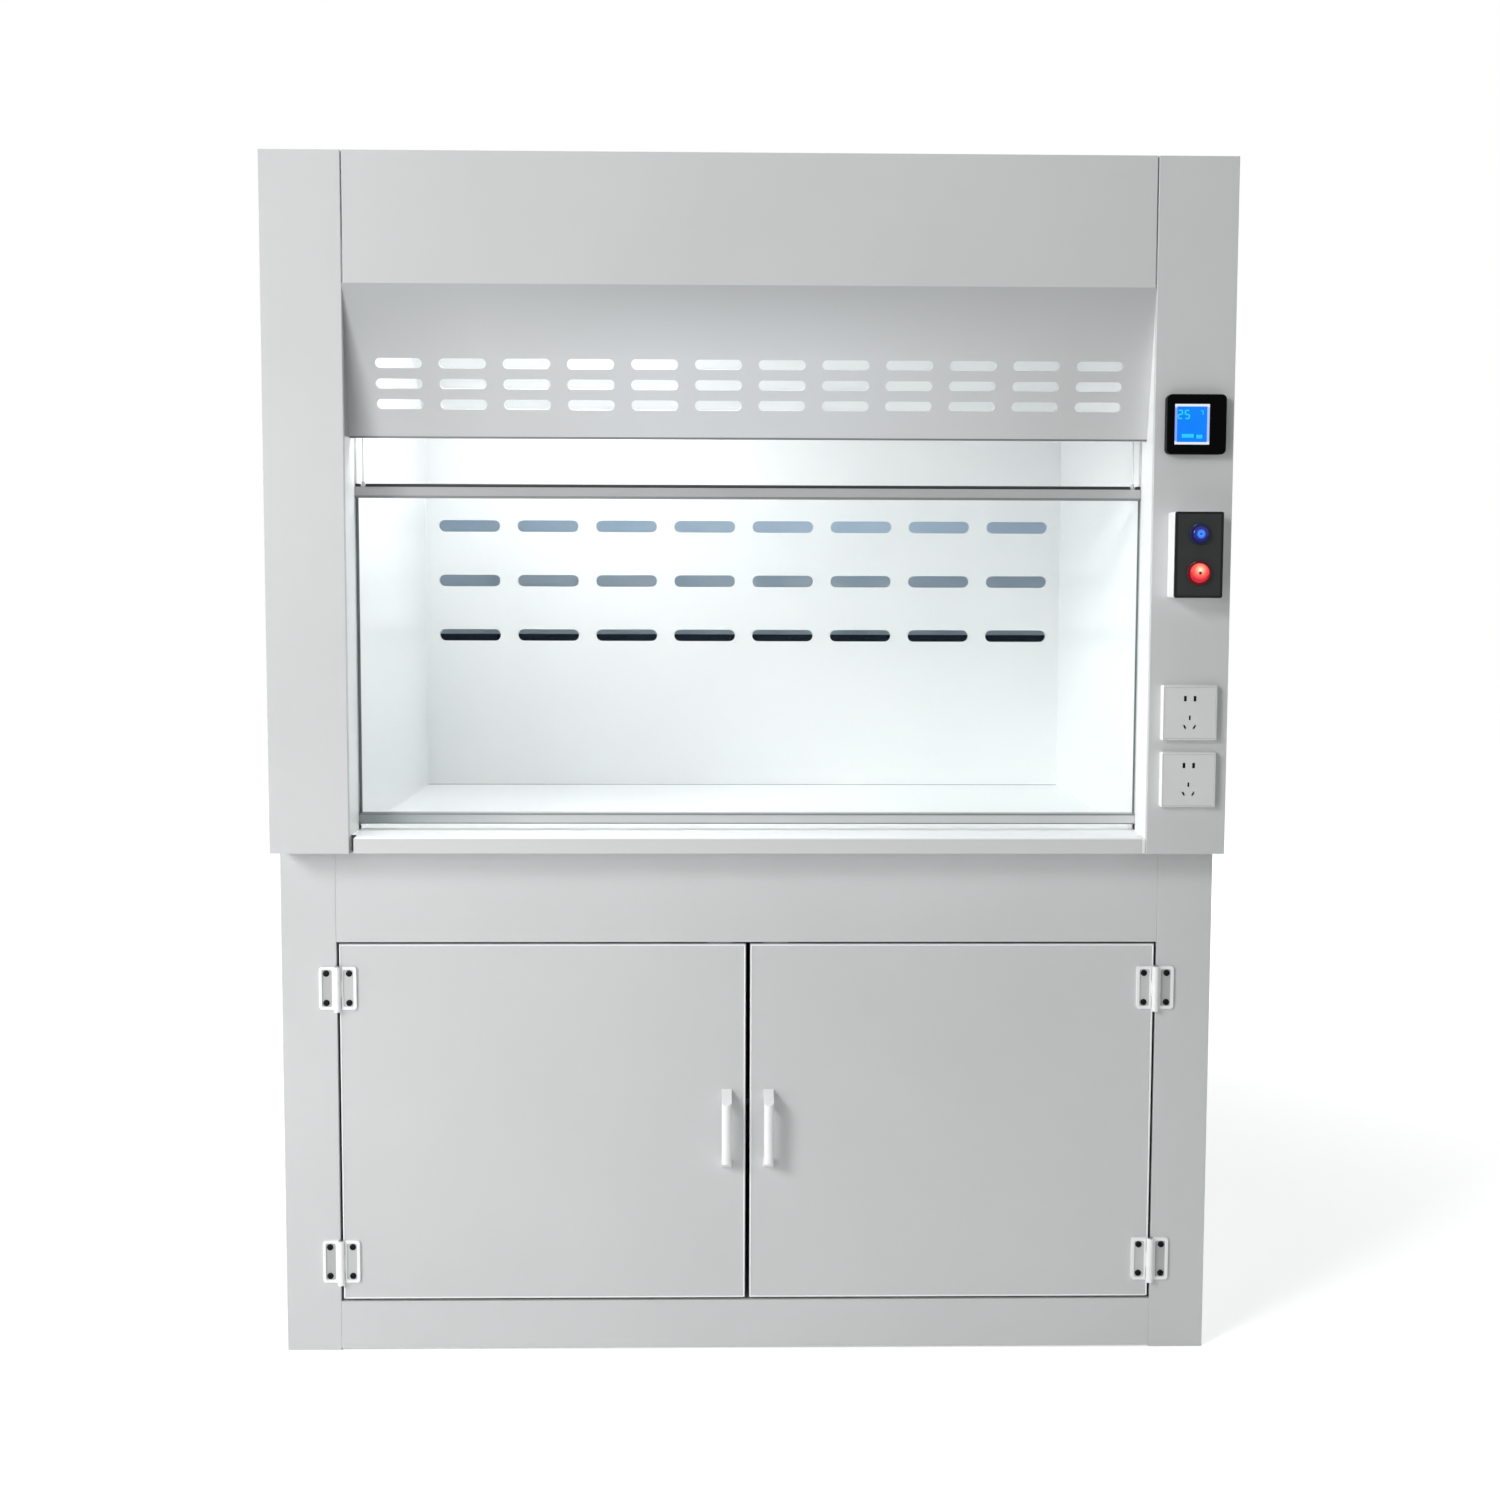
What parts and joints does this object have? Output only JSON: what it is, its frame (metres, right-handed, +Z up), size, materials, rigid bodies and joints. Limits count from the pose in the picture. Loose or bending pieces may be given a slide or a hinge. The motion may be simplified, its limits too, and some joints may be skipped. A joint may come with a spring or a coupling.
{
  "type": "fume hood",
  "caption": "Free-standing polypropylene fume hood: vertically sliding counterweighted glass sash, slotted inlet panel and baffle, controls on the right post and a base cabinet with doors.",
  "frame": {"origin": "on the floor, under the middle of the whole hood", "axes": "+X to the user's right, front faces -Y, +Z up"},
  "size_m": [1.5, 0.902, 1.99],
  "materials": {
    "polypropylene": "welded extruded sheet, satin",
    "chamber_lining": "welded sheet, satin",
    "white_plastic": "injection moulded",
    "grey_profile": "extruded profile",
    "sash_glass": "clear safety glass",
    "steel": "plain",
    "pulley_nylon": "turned nylon",
    "iron": "as cast, painted",
    "rubber": "moulded",
    "lamp_white": "opal diffuser",
    "black_plastic": "moulded, glossy",
    "charcoal_plate": "moulded, satin",
    "display": "backlit liquid crystal",
    "blue_lens": "clear lens over a lamp",
    "red_lens": "clear lens over a lamp"
  },
  "bodies": {
    "hood": {"cabinet_sides": "polypropylene", "cabinet_back": "polypropylene", "cabinet_floor": "polypropylene", "stile_left": "polypropylene", "stile_right": "polypropylene", "head_rail": "polypropylene", "bottom_rail": "polypropylene", "cabinet_shelf": "polypropylene", "shelf_cleats": "polypropylene", "bench_bearers": "polypropylene", "hinge_frame_leaves": "white_plastic", "hinge_pins": "steel", "door_catches": "white_plastic", "worktop": "chamber_lining", "post_face_left": "polypropylene", "post_face_right": "polypropylene", "outer_sides": "polypropylene", "jambs": "chamber_lining", "liners": "chamber_lining", "post_bases": "polypropylene", "rear_panel": "polypropylene", "roof": "polypropylene", "fascia": "polypropylene", "inlet_panel": "polypropylene", "ceiling": "chamber_lining", "upper_baffle": "chamber_lining", "baffle": "chamber_lining", "exhaust_collar": "polypropylene", "lamp_diffuser": "lamp_white", "lamp_housing": "steel", "lamp_tube": "lamp_white", "sash_tracks": "white_plastic", "sash_buffers": "rubber", "pulley_brackets": "steel", "sash_cables": "steel", "weight_cables": "steel", "controller_housing": "black_plastic", "controller_screen": "display", "switch_box": "white_plastic", "switch_face": "charcoal_plate", "button_bezels": "black_plastic", "socket_plates": "white_plastic", "socket_inserts": "white_plastic"},
    "sash": {"sash_glass": "sash_glass", "sash_top_rail": "grey_profile", "sash_bottom_rail": "grey_profile", "sash_guides": "white_plastic"},
    "weight_left": {"counterweight_left": "iron"},
    "weight_right": {"counterweight_right": "iron"},
    "wheel_left": {"pulley_left": "pulley_nylon"},
    "wheel_right": {"pulley_right": "pulley_nylon"},
    "left_door": {"door_left": "polypropylene", "handle_left": "white_plastic", "hinge_door_leaves_left": "white_plastic"},
    "right_door": {"door_right": "polypropylene", "handle_right": "white_plastic", "hinge_door_leaves_right": "white_plastic"},
    "blue_push": {"blue_button": "blue_lens"},
    "red_push": {"red_button": "red_lens"}
  },
  "joints": [
    {"name": "sash_slide", "type": "slide", "parent": "hood", "child": "sash", "axis": [0, 0, 1], "range_m": [0, 0.41], "deforming": ["sash_cables"]},
    {"name": "weight_left_slide", "type": "slide", "parent": "hood", "child": "weight_left", "axis": [0, 0, 1], "range_m": [-0.41, 0], "deforming": ["weight_cables"]},
    {"name": "weight_right_slide", "type": "slide", "parent": "hood", "child": "weight_right", "axis": [0, 0, 1], "range_m": [-0.41, 0]},
    {"name": "wheel_left_spin", "type": "hinge", "parent": "hood", "child": "wheel_left", "pos_m": [-0.644, -0.315, 1.864], "axis": [0, 1, 0], "range_deg": [-784, 0]},
    {"name": "wheel_right_spin", "type": "hinge", "parent": "hood", "child": "wheel_right", "pos_m": [0.644, -0.315, 1.864], "axis": [0, 1, 0], "range_deg": [0, 784]},
    {"name": "left_door_hinge", "type": "hinge", "parent": "hood", "child": "left_door", "pos_m": [-0.66, -0.34275, 0.37], "axis": [0, 0, 1], "range_deg": [-165, 0]},
    {"name": "right_door_hinge", "type": "hinge", "parent": "hood", "child": "right_door", "pos_m": [0.66, -0.34275, 0.37], "axis": [0, 0, 1], "range_deg": [0, 165]},
    {"name": "blue_button_push", "type": "slide", "parent": "hood", "child": "blue_push", "axis": [0, 1, 0], "range_m": [0, 0.0035], "stiffness_N_per_m": 400, "springref_m": -0.003},
    {"name": "red_button_push", "type": "slide", "parent": "hood", "child": "red_push", "axis": [0, 1, 0], "range_m": [0, 0.0035], "stiffness_N_per_m": 400, "springref_m": -0.003}
  ],
  "couplings": [
    {"joint": "weight_left_slide", "follows": "sash_slide", "ratio": -1},
    {"joint": "weight_right_slide", "follows": "sash_slide", "ratio": -1},
    {"joint": "wheel_left_spin", "follows": "sash_slide", "rad_per_m": -33.333},
    {"joint": "wheel_right_spin", "follows": "sash_slide", "rad_per_m": 33.333}
  ]
}
